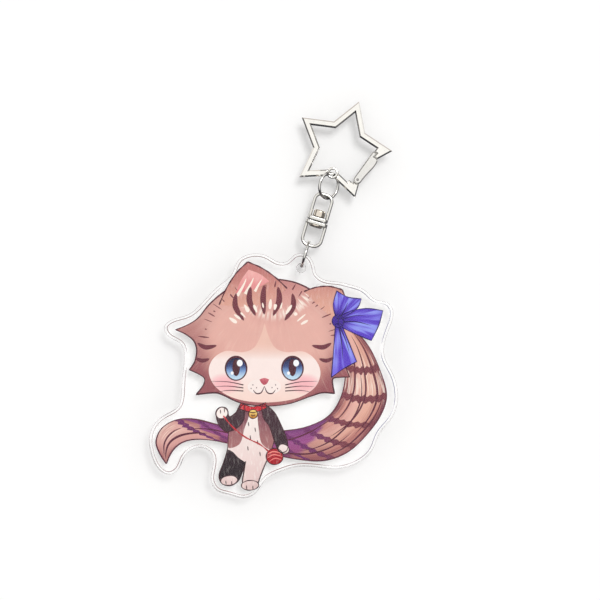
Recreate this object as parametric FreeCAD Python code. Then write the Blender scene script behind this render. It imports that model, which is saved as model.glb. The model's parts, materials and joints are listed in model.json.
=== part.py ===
import FreeCAD, Part
import math
import os

Vector = FreeCAD.Vector

# A hanging acrylic keychain: star shaped gate clasp, jump ring, swivel, jump ring, clear charm.
# Millimetres. +Z is up, +X is right and the charm's printed front faces -Y.
# The origin is the centre of the star clasp's opening, half way through its thickness.

# ---- driving dimensions -------------------------------------------------------------
star_tip_r = 16.7        # centre of the star to each outer point
star_waist_r = 9.35      # centre of the star to each outer hollow
star_lean = -3.8         # turn of the star about Y, degrees, clockwise from the front
bar_width = 2.0          # width of the star's bar, in the plane of the star
bar_thick = 2.0          # thickness of the star's bar, along Y
edge_break = 0.4         # chamfer on the star's long edges

eye_inset = 0.95         # from the lower outer hollow in to the eye's centre
eye_r = 1.5              # centre line radius of the clasp's round eye
eye_wire_r = 0.45        # radius of the eye's section
eye_drop = 0.25          # how far below the eye's centre the jump ring's wire hangs
eye_clear_r = 1.8        # the bars stop at this radius from the eye

hinge_x = 7.98           # the gate's hinge, from the star's centre
hinge_z = -8.28
gate_lean = 70.6         # direction of the gate from +X, degrees
gate_length = 9.2        # hinge centre to the shoulder of the gate's nose
gate_half = 1.3          # half the gate's width
gate_bulge = 0.6         # extra width of the thumb rest near the nose
nose_length = 1.35       # tongue of the nose beyond the shoulder
nose_round = 0.3         # the thumb rest's end from the gate's outer side
gate_edge_break = 0.3    # chamfer on the gate's long edges
gate_gap = 0.08          # clearance all round the closed gate
knuckle_r = 1.3          # radius of the gate's two cheeks about the hinge
lower_web_side = 2.2     # solid lower point: how far inwards from the gate's line it is filled
lower_web_start = 1.7    # and how far below the hinge it starts
nose_web_side = 1.0      # solid stop for the nose: how far inwards it is filled
nose_web_length = 3.2    # and how far beyond the gate's shoulder
stop_foot = 0.5          # foot of the nose's stop, below the gate's shoulder
tongue_r = 1.0           # radius of the frame's tongue between the cheeks
tongue_flat = 0.85       # hinge centre to the flat that the plunger presses on
tongue_thick = 0.7
neck_half = 0.7          # half width of the neck between the tongue and the star
neck_root = 1.2          # length of the neck inside the star
fork_width = 0.8         # slot between the gate's cheeks
pin_r = 0.4
pin_clearance = 0.03
pin_recess = 0.02        # each end of the pin below the gate's face
pin_round = 0.08
slot_reach = 0.25        # slot beyond the tongue's round end
bore_r = 0.44            # bore that holds the spring and its plunger
bore_offset = -0.45      # the bore's place across the gate, towards the opening
bore_end = 7.0           # blind end of the bore, from the hinge centre
plunger_r = 0.4
plunger_length = 1.9
plunger_gap = 0.01       # between the plunger's nose and the tongue's flat
spring_play = 0.05       # each end of the closed gate's spring from its seat
bore_wall_gap = 0.03     # between the spring and the bore
spring_wire_r = 0.08
spring_turns = 9

ring_r = 4.2             # centre line radius of both jump rings
ring_wire_r = 0.45
ring_cut = 0.12          # gap between the ends of a closed jump ring
upper_ring_turn = 44.0   # turn of the upper ring about the chain's line, degrees
upper_cut_rise = 20.0    # the upper ring's cut above its widest point, degrees
lower_cut_rise = 15.0    # the lower ring's cut above its widest point, degrees

loop_wire_r = 0.55       # wire of both swivel loops
plate_thick = 1.2        # flat end of each swivel loop
plate_depth = 3.4        # size of the flat end along Y
plate_corner_r = 1.45    # rounded corners of the flat end, seen from above
plate_edge_r = 0.28      # rounded rims of the flat end
plate_gap = 0.25         # gap between the two flat ends
upper_loop_reach = 9.05  # outer bar's centre to the far face of the flat end
upper_loop_half = 2.9    # half the width between the legs' centre lines
upper_loop_bend = 2.2
lower_loop_reach = 8.2
lower_loop_half = 3.15
lower_loop_bend = 2.4
rivet_r = 1.0
rivet_clearance = 0.05
rivet_head_r = 1.95
rivet_head_height = 2.4
rivet_dome = 0.6         # rounding of the head's top
rivet_rim = 0.25         # rounding of the head's lower rim
rivet_foot_r = 2.3
rivet_foot_height = 0.75
rivet_foot_round = 0.65

link_gap = 0.05          # play left between two links that rest on each other
swivel_shift = -0.35     # the swivel's line from the eye's, along X
hole_shift = -1.0        # the charm's hole from the eye's, along X

hole_r = 1.5             # hole in the charm's tab
front_sheet = 1.8        # thicknesses through the charm
adhesive = 0.3
colour_ink = 0.08
white_ink = 0.08
back_sheet = 1.0
sheet_edge = 0.3         # polished edge of both sheets
print_margin = 2.6       # clear border outside the print

beyond = 8.0             # reaches past the clasp's outline from any place on the gate
# ---------------------------------------------------------------------------------------

charm_half = (front_sheet + adhesive + back_sheet) / 2
eye_angle = math.radians(270 + star_lean)
eye_distance = star_waist_r - eye_inset
eye_x = eye_distance * math.cos(eye_angle)
eye_z = eye_distance * math.sin(eye_angle)
upper_ring_z = eye_z - eye_drop - ring_r
swivel_x = eye_x + swivel_shift
upper_bar_z = upper_ring_z - ring_r + ring_wire_r + link_gap + loop_wire_r
upper_plate_z = upper_bar_z - upper_loop_reach
lower_plate_z = upper_plate_z - plate_gap
lower_bar_z = lower_plate_z - lower_loop_reach
lower_ring_z = lower_bar_z + loop_wire_r + link_gap + ring_wire_r - ring_r
hole_x = eye_x + hole_shift
ring_inner_r = ring_r - ring_wire_r
hole_z = lower_ring_z - math.sqrt(ring_inner_r ** 2 - charm_half ** 2) + link_gap - hole_r

# The charm's outline, X and Z from the hole's centre, clockwise from the top of the tab.
tab = [(-0.6, 4.8), (2.3, 3.9), (3.9, 2.0), (5.2, -0.2)]
brow = [(8.6, -1.5), (12.6, -0.9), (17.0, -0.6)]
bow = [(22.4, -1.1), (26.6, -2.9), (30.6, -2.8), (33.0, -4.8), (33.6, -9.4), (33.4, -15.6), (34.6, -20.0)]
tail_side = [(38.6, -24.4), (42.2, -30.2), (43.2, -35.0), (42.4, -39.8), (40.3, -44.8), (39.6, -50.7)]
tail_under = [(36.0, -56.4), (30.8, -59.8), (23.6, -61.4), (17.0, -63.3), (12.0, -66.6)]
feet = [(8.6, -70.2), (6.6, -75.6), (3.2, -78.1), (-1.0, -78.3), (-6.0, -78.0), (-8.4, -75.6), (-9.3, -70.4)]
tail_tip = [(-10.8, -67.0), (-14.0, -66.0), (-17.4, -67.6), (-19.3, -71.2), (-20.0, -75.4), (-22.6, -77.7)]
tail_end = [(-26.2, -76.8), (-29.6, -73.2), (-31.8, -68.6), (-31.8, -63.6), (-29.2, -59.2)]
cheek = [(-25.8, -55.2), (-26.0, -50.6), (-27.4, -44.6), (-28.6, -38.6)]
side_point = [(-31.0, -35.2), (-35.6, -33.9), (-37.6, -31.4), (-35.6, -28.2), (-31.4, -25.4)]
crown = [(-27.8, -20.0), (-24.2, -13.2), (-21.3, -8.4), (-20.6, -3.6), (-16.6, 0.0), (-11.6, 0.6), (-7.8, -0.2)]
tab_left = [(-5.0, 0.9), (-3.5, 3.3)]


def at(x, y, z):
    """A point given from the charm's hole."""
    return Vector(hole_x + x, y, hole_z + z)


def disc(radius, thickness, x, z, y_mid=0.0):
    """A round plate with its axis along Y."""
    return Part.makeCylinder(radius, thickness, Vector(x, y_mid - thickness / 2, z), Vector(0, 1, 0))


def plate(points, thickness):
    """A flat polygon in the XZ plane, thickened evenly about Y = 0."""
    face = Part.Face(Part.makePolygon(points + [points[0]]))
    slab = face.extrude(Vector(0, thickness, 0))
    slab.translate(Vector(0, -thickness / 2, 0))
    return slab


def break_edges(solid, thickness, size):
    """Chamfer the edges that run round the two faces at Y = -thickness/2 and +thickness/2."""
    rim = []
    for edge in solid.Edges:
        box = edge.BoundBox
        if box.YLength < 1e-6 and abs(abs(box.YMin) - thickness / 2) < 1e-6:
            rim.append(edge)
    return solid.makeChamfer(size, rim)


def star_outline(inset):
    """The star's points, moved in by inset from the outer outline."""
    waist = Vector(star_waist_r * math.cos(math.radians(36)), 0, star_waist_r * math.sin(math.radians(36)))
    side = waist - Vector(star_tip_r, 0, 0)
    normal = Vector(side.z, 0, -side.x).normalize()
    tip_r = star_tip_r - inset / abs(normal.x)
    waist_r = star_waist_r - inset / abs(normal.dot(waist) / star_waist_r)
    points = []
    for k in range(10):
        angle = math.radians(90 + star_lean + 36 * k)
        radius = tip_r if k % 2 == 0 else waist_r
        points.append(Vector(radius * math.cos(angle), 0, radius * math.sin(angle)))
    return points


# The gate's own directions: "along" runs from the hinge to the nose, "out" points away from the opening.
along = Vector(math.cos(math.radians(gate_lean)), 0, math.sin(math.radians(gate_lean)))
out = Vector(along.z, 0, -along.x)
hinge = Vector(hinge_x, 0, hinge_z)


def on_gate(u, v):
    """A point u along the gate from its hinge and v outwards."""
    return hinge + along * u + out * v


def gate_block(u_from, u_to, v_from, v_to, thickness):
    """A flat block that lies along the gate's own directions."""
    return plate([on_gate(u_from, v_from), on_gate(u_from, v_to), on_gate(u_to, v_to), on_gate(u_to, v_from)],
                 thickness)


def clasp_frame():
    """The star, open where the gate sits, with a solid lower point, a stop for the nose and an eye."""
    through = 2 * bar_thick
    star = plate(star_outline(0), bar_thick)
    body = star.cut(plate(star_outline(bar_width), through))
    lower_web = gate_block(-beyond, -lower_web_start, -lower_web_side, beyond, bar_thick)
    nose_web = gate_block(gate_length, gate_length + nose_web_length, -nose_web_side, beyond, bar_thick)
    body = body.fuse(star.common(lower_web)).fuse(star.common(nose_web))
    side = gate_half + gate_gap
    top = gate_length + gate_gap
    body = body.cut(gate_block(0, top, 0, beyond, through))
    body = body.cut(gate_block(0, top + nose_length + gate_gap, -side, 0, through))
    body = body.cut(gate_block(0, top - stop_foot, -2 * bar_width, 0, through))
    body = body.cut(disc(knuckle_r + gate_gap, through, hinge.x, hinge.z))
    body = body.cut(disc(eye_clear_r, through, eye_x, eye_z))
    body = break_edges(body.removeSplitter(), bar_thick, edge_break)
    eye = Part.makeTorus(eye_r, eye_wire_r, Vector(eye_x, 0, eye_z), Vector(0, 1, 0))
    tongue = disc(tongue_r, tongue_thick, hinge.x, hinge.z)
    tongue = tongue.fuse(gate_block(-knuckle_r - neck_root, 0, -neck_half, neck_half, tongue_thick))
    tongue = tongue.cut(gate_block(tongue_flat, beyond, -tongue_r, tongue_r, through))
    body = body.fuse(eye).fuse(tongue)
    return body.cut(disc(pin_r, through, hinge.x, hinge.z)).removeSplitter()


def clasp_gate():
    """The spring gate: two round cheeks at the hinge, a thumb rest and a stepped nose."""
    nose_top = gate_length + nose_length
    start = on_gate(0, -gate_half)
    nose_inner = on_gate(nose_top, -gate_half)
    nose_outer = on_gate(nose_top, -gate_gap)
    step = on_gate(gate_length, -gate_gap)
    shoulder = on_gate(gate_length, gate_half - nose_round)
    foot = on_gate(0, gate_half)
    thumb_side = [foot, on_gate(gate_length / 2, gate_half + gate_bulge * 0.6),
                  on_gate(gate_length - 2.2, gate_half + gate_bulge), shoulder]
    thumb_rest = Part.BSplineCurve()
    thumb_rest.interpolate(Points=thumb_side, InitialTangent=along, FinalTangent=out * -1)
    edges = [
        Part.makeLine(start, nose_inner),
        Part.makeLine(nose_inner, nose_outer),
        Part.makeLine(nose_outer, step),
        Part.makeLine(step, shoulder),
        thumb_rest.toShape().reversed(),
        Part.Arc(foot, on_gate(-knuckle_r, 0), start).toShape(),
    ]
    body = Part.Face(Part.Wire(edges)).extrude(Vector(0, bar_thick, 0))
    body.translate(Vector(0, -bar_thick / 2, 0))
    body = break_edges(body, bar_thick, gate_edge_break)
    slot = gate_block(-2 * knuckle_r, tongue_r + slot_reach, -2 * gate_half, 2 * gate_half, fork_width)
    bore = Part.makeCylinder(bore_r, bore_end, on_gate(0, bore_offset), along)
    body = body.cut(slot).cut(bore)
    return body.cut(disc(pin_r + pin_clearance, 2 * bar_thick, hinge.x, hinge.z))


def gate_hinge_pin():
    """The pin through both cheeks, held in the frame's tongue, with slightly rounded ends."""
    pin = disc(pin_r, bar_thick - 2 * pin_recess, hinge.x, hinge.z)
    ends = [e for e in pin.Edges if e.BoundBox.YLength < 1e-6]
    return pin.makeFillet(pin_round, ends)


def gate_plunger():
    """The round nosed rod that the spring presses against the tongue's flat."""
    nose = on_gate(tongue_flat + plunger_r + plunger_gap, bore_offset)
    rod = Part.makeCylinder(plunger_r, plunger_length - plunger_r, nose, along)
    return rod.fuse(Part.makeSphere(plunger_r, nose)).removeSplitter()


def gate_spring():
    """The compression spring between the plunger and the bore's blind end."""
    start = tongue_flat + plunger_gap + plunger_length + spring_play
    rise = bore_end - spring_play - start - 2 * spring_wire_r
    coil_r = bore_r - spring_wire_r - bore_wall_gap
    path = Part.makeHelix(rise / spring_turns, rise, coil_r)
    profile = Part.Wire(Part.makeCircle(spring_wire_r, Vector(coil_r, 0, 0), Vector(0, 1, 0)))
    coil = Part.Wire(path).makePipeShell([profile], True, True)
    coil.rotate(Vector(0, 0, 0), Vector(0, 1, 0), 90 - gate_lean)
    coil.translate(on_gate(start + spring_wire_r, bore_offset))
    return coil


def jump_ring(centre, axis, cut_direction):
    """A round wire ring with a fine cut, square to the wire, on the side cut_direction points to."""
    ring = Part.makeTorus(ring_r, ring_wire_r, centre, axis)
    reach = 2 * (ring_r + ring_wire_r)
    blade = Part.makeBox(ring_cut, reach, reach)
    blade.translate(Vector(-ring_cut / 2, 0, -reach / 2))
    blade.Placement = FreeCAD.Placement(
        centre, FreeCAD.Rotation(axis.cross(cut_direction), cut_direction, axis, "YXZ")
    ).multiply(blade.Placement)
    return ring.cut(blade)


def upper_jump_ring():
    turn = math.radians(upper_ring_turn)
    sideways = Vector(math.cos(turn), math.sin(turn), 0)
    axis = Vector(-math.sin(turn), math.cos(turn), 0)
    rise = math.radians(upper_cut_rise)
    cut = sideways * math.cos(rise) + Vector(0, 0, math.sin(rise))
    return jump_ring(Vector(eye_x, 0, upper_ring_z), axis, cut)


def lower_jump_ring():
    rise = math.radians(lower_cut_rise)
    cut = Vector(0, -math.cos(rise), math.sin(rise))
    return jump_ring(Vector(hole_x, 0, lower_ring_z), Vector(1, 0, 0), cut)


def swivel_loop(bar_z, plate_mid_z, half, bend):
    """A wire loop whose legs end in a flat plate. The bar is the far side from the plate."""
    up = 1 if bar_z > plate_mid_z else -1
    leg_end = bar_z - up * bend
    mid = bend * math.sin(math.radians(45))
    shoulder = half - bend
    left, right = swivel_x - half, swivel_x + half
    left_top, right_top = swivel_x - shoulder, swivel_x + shoulder
    edges = [
        Part.makeLine(Vector(left, 0, plate_mid_z), Vector(left, 0, leg_end)),
        Part.Arc(Vector(left, 0, leg_end), Vector(left_top - mid, 0, leg_end + up * mid),
                 Vector(left_top, 0, bar_z)).toShape(),
        Part.makeLine(Vector(left_top, 0, bar_z), Vector(right_top, 0, bar_z)),
        Part.Arc(Vector(right_top, 0, bar_z), Vector(right_top + mid, 0, leg_end + up * mid),
                 Vector(right, 0, leg_end)).toShape(),
        Part.makeLine(Vector(right, 0, leg_end), Vector(right, 0, plate_mid_z)),
    ]
    section = Part.Wire(Part.makeCircle(loop_wire_r, Vector(left, 0, plate_mid_z), Vector(0, 0, 1)))
    wire = Part.Wire(edges).makePipeShell([section], True, True)
    reach = half + loop_wire_r
    block = Part.makeBox(2 * reach, plate_depth, plate_thick,
                         Vector(swivel_x - reach, -plate_depth / 2, plate_mid_z - plate_thick / 2))
    corners = [e for e in block.Edges if e.BoundBox.ZLength > plate_thick / 2]
    block = block.makeFillet(plate_corner_r, corners)
    rims = [e for e in block.Edges if e.BoundBox.ZLength < plate_thick / 2]
    return block.makeFillet(plate_edge_r, rims).fuse(wire)


def swivel_upper_loop():
    loop = swivel_loop(upper_bar_z, upper_plate_z + plate_thick / 2, upper_loop_half, upper_loop_bend)
    hole = Part.makeCylinder(rivet_r + rivet_clearance, 3 * plate_thick,
                             Vector(swivel_x, 0, upper_plate_z - plate_thick))
    return loop.cut(hole)


def swivel_lower_loop():
    loop = swivel_loop(lower_bar_z, lower_plate_z - plate_thick / 2, lower_loop_half, lower_loop_bend)
    hole = Part.makeCylinder(rivet_r, 3 * plate_thick, Vector(swivel_x, 0, lower_plate_z - 2 * plate_thick))
    return loop.cut(hole)


def level_circles(solid, z):
    """The solid's edges that lie flat at height z."""
    return [e for e in solid.Edges if e.BoundBox.ZLength < 1e-6 and abs(e.BoundBox.ZMin - z) < 1e-6]


def swivel_rivet():
    """Shank fast in the lower plate, running in the upper one, with a tall head and a domed foot."""
    head_z = upper_plate_z + plate_thick + link_gap
    foot_z = lower_plate_z - plate_thick
    shank = Part.makeCylinder(rivet_r, head_z - foot_z, Vector(swivel_x, 0, foot_z))
    head = Part.makeCylinder(rivet_head_r, rivet_head_height, Vector(swivel_x, 0, head_z))
    head = head.makeFillet(rivet_dome, level_circles(head, head_z + rivet_head_height))
    head = head.makeFillet(rivet_rim, level_circles(head, head_z))
    foot = Part.makeCylinder(rivet_foot_r, rivet_foot_height, Vector(swivel_x, 0, foot_z - rivet_foot_height))
    foot = foot.makeFillet(rivet_foot_round, level_circles(foot, foot_z - rivet_foot_height))
    return shank.fuse(head).fuse(foot).removeSplitter()


def smooth_loop(points):
    """A closed, smooth curve through X, Z points given from the charm's hole."""
    curve = Part.BSplineCurve()
    curve.interpolate(Points=[at(x, 0, z) for x, z in points], PeriodicFlag=True)
    return Part.Wire(curve.toShape())


def charm_outline():
    """The closed, smooth outline of both sheets, in the plane Y = 0."""
    lower = tail_side + tail_under + feet + tail_tip + tail_end
    return smooth_loop(tab + brow + bow + lower + cheek + side_point + crown + tab_left)


def print_outline():
    """The print's outline: the sheets' without the tab, each point moved in by the clear border."""
    points = brow + bow + tail_side + tail_under + feet + tail_tip + tail_end + cheek + side_point + crown
    moved = []
    for k, (x, z) in enumerate(points):
        before = points[k - 1]
        after = points[(k + 1) % len(points)]
        run = math.hypot(after[0] - before[0], after[1] - before[1])
        inward = ((after[1] - before[1]) / run, (before[0] - after[0]) / run)
        if (x, z) not in side_point[1:4]:
            moved.append((x + inward[0] * print_margin, z + inward[1] * print_margin))
    return smooth_loop(moved)


def sheet(wire, y_front, thickness):
    face = Part.Face(wire)
    slab = face.extrude(Vector(0, thickness, 0))
    slab.translate(Vector(0, y_front, 0))
    return slab


def drilled(slab):
    return slab.cut(disc(hole_r, 4 * charm_half, hole_x, hole_z))


def polish(solid, y_face):
    """Round the rim and the hole's mouth on the outer face at y_face."""
    rim = [e for e in solid.Edges if e.BoundBox.YLength < 1e-6 and abs(e.BoundBox.YMin - y_face) < 1e-6]
    return solid.makeFillet(sheet_edge, rim)


def make_all():
    front_y = -charm_half
    glue_y = front_y + front_sheet
    back_y = glue_y + adhesive
    outline = charm_outline()
    colour = sheet(print_outline(), glue_y, colour_ink)
    white = sheet(print_outline(), glue_y + colour_ink, white_ink)
    glue = drilled(sheet(outline, glue_y, adhesive)).cut(colour).cut(white)
    return {
        "clasp_frame": clasp_frame(),
        "clasp_gate": clasp_gate(),
        "gate_hinge_pin": gate_hinge_pin(),
        "gate_plunger": gate_plunger(),
        "gate_spring": gate_spring(),
        "upper_jump_ring": upper_jump_ring(),
        "swivel_upper_loop": swivel_upper_loop(),
        "swivel_lower_loop": swivel_lower_loop(),
        "swivel_rivet": swivel_rivet(),
        "lower_jump_ring": lower_jump_ring(),
        "front_sheet": polish(drilled(sheet(outline, front_y, front_sheet)), front_y),
        "colour_ink": colour,
        "white_ink": white,
        "adhesive_film": glue,
        "back_sheet": polish(drilled(sheet(outline, back_y, back_sheet)), back_y + back_sheet),
    }


os.makedirs("parts", exist_ok=True)
for name, shape in make_all().items():
    shape.exportStep("parts/" + name + ".step")
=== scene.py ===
import bmesh
import bpy
import json
import math
from mathutils import Matrix, Vector
from mathutils.geometry import tessellate_polygon

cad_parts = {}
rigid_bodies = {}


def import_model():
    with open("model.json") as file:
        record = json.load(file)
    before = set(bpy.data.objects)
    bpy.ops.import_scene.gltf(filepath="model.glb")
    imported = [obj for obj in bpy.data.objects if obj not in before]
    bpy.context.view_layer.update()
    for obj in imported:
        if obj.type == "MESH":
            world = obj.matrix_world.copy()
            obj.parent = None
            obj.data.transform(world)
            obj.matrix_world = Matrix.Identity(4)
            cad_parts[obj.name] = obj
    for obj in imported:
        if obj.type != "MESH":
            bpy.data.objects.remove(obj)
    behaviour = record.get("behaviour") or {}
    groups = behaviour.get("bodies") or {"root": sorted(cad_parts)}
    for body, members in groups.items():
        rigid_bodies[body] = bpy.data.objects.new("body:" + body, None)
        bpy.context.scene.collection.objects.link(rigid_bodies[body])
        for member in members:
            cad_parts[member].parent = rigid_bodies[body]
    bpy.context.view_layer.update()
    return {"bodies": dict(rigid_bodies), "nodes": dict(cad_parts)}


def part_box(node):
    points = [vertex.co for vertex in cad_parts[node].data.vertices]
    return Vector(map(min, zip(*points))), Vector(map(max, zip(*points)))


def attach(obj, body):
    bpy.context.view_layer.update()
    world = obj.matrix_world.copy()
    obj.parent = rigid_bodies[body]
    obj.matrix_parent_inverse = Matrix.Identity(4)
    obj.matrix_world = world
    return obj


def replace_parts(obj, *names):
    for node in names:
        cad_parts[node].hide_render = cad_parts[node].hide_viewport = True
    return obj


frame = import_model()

# ---- driving values
MM = 0.001
LEAN = math.radians(16.6)  # the print stands upright when the chain leans this far
TAB_ABOVE_HOLE = 4.9       # top of the charm's tab above its hole, mm
LEVELS = 18                # printed layers, 0 at the back
VIEW_WIDTH = 198.0         # width of the picture at the charm, mm
VIEW_DISTANCE = 400.0      # from the camera to the charm, mm
SENSOR = 36.0
AIM_RIGHT = -0.33          # the picture's middle from the charm's hole, mm
AIM_ABOVE = -10.4
AMBIENT = 0.70             # light from all round
GLINT_INSET = 0.75         # the painted reflection line of the far edge, from the plate's outline, mm
GLINT_WIDTH = 0.26
GLINT_BACK = 0.02          # its back face, in front of the film's back face, mm
GLINT_FRONT = 0.08         # and its front face
RIM_POINTS = 600           # points round the plate's outline
ORDERS = 5                 # shapes of one printed layer that get a depth of their own
ORDER_STEP = 0.16          # between them, as a share of a layer
WHITE_INSET = 0.01         # the white ink's front from the front of its CAD layer, mm
TINY = 0.002               # keeps the back faces of printed shapes apart, mm
HAIR = 0.02                # how far from a face a point still counts as on it, mm
ACRYLIC_IOR = 1.49
SURFACE_SIZE = 3.0         # half the width of the pale surface, m
SURFACE_GAP = 0.4          # between the keychain's back and the surface, mm
SURFACE_RETREAT = 0.12     # how far the surface moves back when the charm has turned, m
SURFACE_GLOW = 0.14        # its own light
SHEET_GLOW = 0.11          # and painted light added to it where the acrylic shows it, lifting the shade under the print
BEHIND = 0.3               # cosine of the widest view in which a camera sees the surface
KEY_LIGHT = 1.1            # strengths of the two soft lights
REAR_LIGHT = 1.1
LIGHT_ANGLE = math.radians(24)

RIGHT = Vector((math.cos(LEAN), 0, math.sin(LEAN)))
UP = Vector((-math.sin(LEAN), 0, math.cos(LEAN)))
FRONT = Vector((0, -1, 0))

ring_low, ring_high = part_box("lower_jump_ring")
sheet_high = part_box("front_sheet")[1]
ink_low, ink_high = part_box("colour_ink")
white_low, white_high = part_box("white_ink")
film_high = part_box("adhesive_film")[1]
HOLE = Vector(((ring_low.x + ring_high.x) / 2, 0, sheet_high.z - TAB_ABOVE_HOLE * MM))


# ---- colours: sRGB as seen, turned into linear values
def rgb(red, green, blue):
    """An sRGB colour, 0 to 255, as a linear RGBA tuple."""
    linear = []
    for value in (red, green, blue):
        c = value / 255
        linear.append(c / 12.92 if c <= 0.04045 else ((c + 0.055) / 1.055) ** 2.4)
    return (*linear, 1.0)


# ---- node trees
class Tree:
    """The node tree of a material or of the world, with short ways to fill it."""

    def __init__(self, owner):
        self.owner = owner
        owner.use_nodes = True
        self.tree = owner.node_tree
        self.tree.nodes.clear()

    def add(self, kind, inputs=None, **settings):
        node = self.tree.nodes.new("ShaderNode" + kind)
        for key, value in settings.items():
            setattr(node, key, value)
        for key, value in (inputs or {}).items():
            self.feed(node.inputs[key], value)
        return node

    def out(self, kind, inputs=None, **settings):
        """The first output of a new node."""
        return self.add(kind, inputs, **settings).outputs[0]

    def feed(self, socket, value):
        if isinstance(value, bpy.types.NodeSocket):
            self.tree.links.new(value, socket)
        else:
            socket.default_value = value

    def calc(self, operation, a, b=0.0, clamp=False):
        return self.out("Math", {0: a, 1: b}, operation=operation, use_clamp=clamp)

    def plus(self, a, b):
        return self.calc("ADD", a, b)

    def minus(self, a, b):
        return self.calc("SUBTRACT", a, b)

    def times(self, a, b):
        return self.calc("MULTIPLY", a, b)

    def over(self, a, b):
        return self.calc("DIVIDE", a, b)

    def size_of(self, a):
        return self.calc("ABSOLUTE", a)

    def rest_of(self, a):
        """What is left of 1."""
        return self.calc("SUBTRACT", 1.0, a)

    def length(self, a, b):
        """The length of a line that runs a along one axis and b along another."""
        return self.calc("SQRT", self.plus(self.times(a, a), self.times(b, b)))

    def step(self, value, low, high):
        """0 below low, 1 above high, smooth between."""
        return self.out("MapRange", {0: value, 1: low, 2: high}, interpolation_type="SMOOTHSTEP")

    def near(self, value, centre, low, high):
        """1 within low of the centre, 0 beyond high."""
        return self.rest_of(self.step(self.size_of(self.minus(value, centre)), low, high))

    def mix(self, factor, a, b):
        node = self.add("Mix", data_type="RGBA")
        for k, value in ((0, factor), (6, a), (7, b)):
            self.feed(node.inputs[k], value)
        return node.outputs[2]

    def ramp(self, factor, stops):
        node = self.add("ValToRGB", {0: factor})
        ramp = node.color_ramp
        while len(ramp.elements) < len(stops):
            ramp.elements.new(0.5)
        for element, (place, colour) in zip(ramp.elements, stops):
            element.position = place
            element.color = colour
        return node.outputs[0]

    def noise(self, vector, scale, detail=2.0, roughness=0.5):
        inputs = {"Vector": vector, "Scale": scale, "Detail": detail, "Roughness": roughness}
        return self.out("TexNoise", inputs)

    def combine(self, x, y):
        return self.out("CombineXYZ", {0: x, 1: y})

    def streaks(self, a, a_scale, b, b_scale, *noise_settings):
        """Noise over two values, drawn out along the one with the smaller scale."""
        return self.noise(self.combine(self.times(a, a_scale), self.times(b, b_scale)), *noise_settings)

    def dot(self, vector, direction):
        return self.add("VectorMath", {0: vector, 1: direction}, operation="DOT_PRODUCT").outputs[1]

    def split(self, vector):
        """The three parts of a vector."""
        return self.add("SeparateXYZ", {0: vector}).outputs

    def diffuse(self, colour):
        return self.out("BsdfDiffuse", {"Color": colour})

    def blend(self, factor, a, b):
        """Shader a where factor is 0 and shader b where it is 1."""
        return self.out("MixShader", {0: factor, 1: a, 2: b})

    def place(self):
        """The point's place in the object's own space, in metres."""
        return self.add("TexCoord").outputs["Object"]

    def own_normal(self):
        """The face's direction in the object's own space, so that it doesn't change with the pose."""
        normal = self.add("NewGeometry").outputs["True Normal"]
        return self.out("VectorTransform", {0: normal}, vector_type="NORMAL", convert_from="WORLD",
                        convert_to="OBJECT")

    def art(self):
        """Millimetres right of and above the charm's hole, with the print upright."""
        shifted = self.out("VectorMath", {0: self.place(), 1: HOLE}, operation="SUBTRACT")
        return self.dot(shifted, RIGHT / MM), self.dot(shifted, UP / MM)

    def finish(self, shader):
        """Link the shader to a material's output, and return the material."""
        output = self.add("OutputMaterial")
        self.tree.links.new(shader, output.inputs[0])
        return self.owner

    def ink(self, colour):
        """Printed ink: a fine dot grain and no gloss of its own, as it lies under the clear sheet."""
        grain = self.noise(self.place(), 9000.0, 1.0)
        wash = self.noise(self.place(), 260.0, 3.0)
        light = self.plus(self.plus(self.times(grain, 0.10), self.times(wash, 0.10)), 0.90)
        scaled = self.out("VectorMath", {0: colour, 3: light}, operation="SCALE")
        inputs = {"Base Color": scaled, "Roughness": 0.6, "Specular IOR Level": 0.1}
        return self.finish(self.out("BsdfPrincipled", inputs))


def new_tree(name):
    """The empty node tree of a new material."""
    return Tree(bpy.data.materials.new(name))


# ---- materials of the print
WHITE = (1.0, 1.0, 1.0, 1.0)
ROSE = rgb(204, 134, 132)
TAN = rgb(231, 177, 165)
CREAM = rgb(250, 222, 206)
CLAY = rgb(196, 128, 118)
PLUM = rgb(122, 60, 74)
MAGENTA = rgb(158, 80, 140)
VIOLET = rgb(92, 64, 198)
INDIGO = rgb(66, 38, 150)
PERIWINKLE = rgb(150, 160, 244)
PALE = rgb(253, 234, 228)
BLUSH = rgb(250, 176, 184)


def fur_material():
    """Head fur: strands from the crown, rosy above, tan in the middle, plum at the rim, and a soft gloss."""
    t = new_tree("print_fur")
    x, y = t.art()
    dx = t.plus(x, 9.0)
    dy = t.minus(-1.0, y)
    angle = t.calc("ARCTAN2", dx, dy)
    reach = t.length(dx, dy)
    strands = t.streaks(angle, 9.0, reach, 0.05, 1.6, 3.0)
    fine = t.streaks(angle, 60.0, reach, 0.12, 1.0, 2.0)
    shift = t.times(t.minus(strands, 0.5), 9.0)
    depth = t.over(t.plus(reach, shift), 46.0)
    base = t.ramp(depth, [(0.0, ROSE), (0.2, rgb(218, 156, 148)), (0.42, TAN), (0.62, TAN), (0.95, CLAY)])
    ex = t.over(t.plus(x, -HEAD_CENTRE[0]), HEAD_HALF[0])
    ey = t.over(t.plus(y, -HEAD_CENTRE[1]), HEAD_HALF[1])
    rim = t.length(ex, ey)
    rim = t.plus(rim, t.times(t.minus(fine, 0.5), 0.10))
    low_side = t.step(y, -10.0, -36.0)
    shade = t.times(t.step(rim, 0.72, 1.05), t.plus(t.times(low_side, 0.6), 0.25))
    base = t.mix(shade, base, rgb(146, 78, 88))
    base = t.mix(t.times(t.step(fine, 0.5, 0.8), 0.22), base, CREAM)
    gloss = t.near(t.plus(reach, t.times(shift, 0.8)), 14.6, 0.4, 2.4)
    gloss = t.times(t.times(gloss, t.step(x, 8.0, 2.0)), t.step(strands, 0.40, 0.62))
    base = t.mix(t.times(gloss, 0.9), base, rgb(255, 240, 228))
    return t.ink(base)


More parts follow.
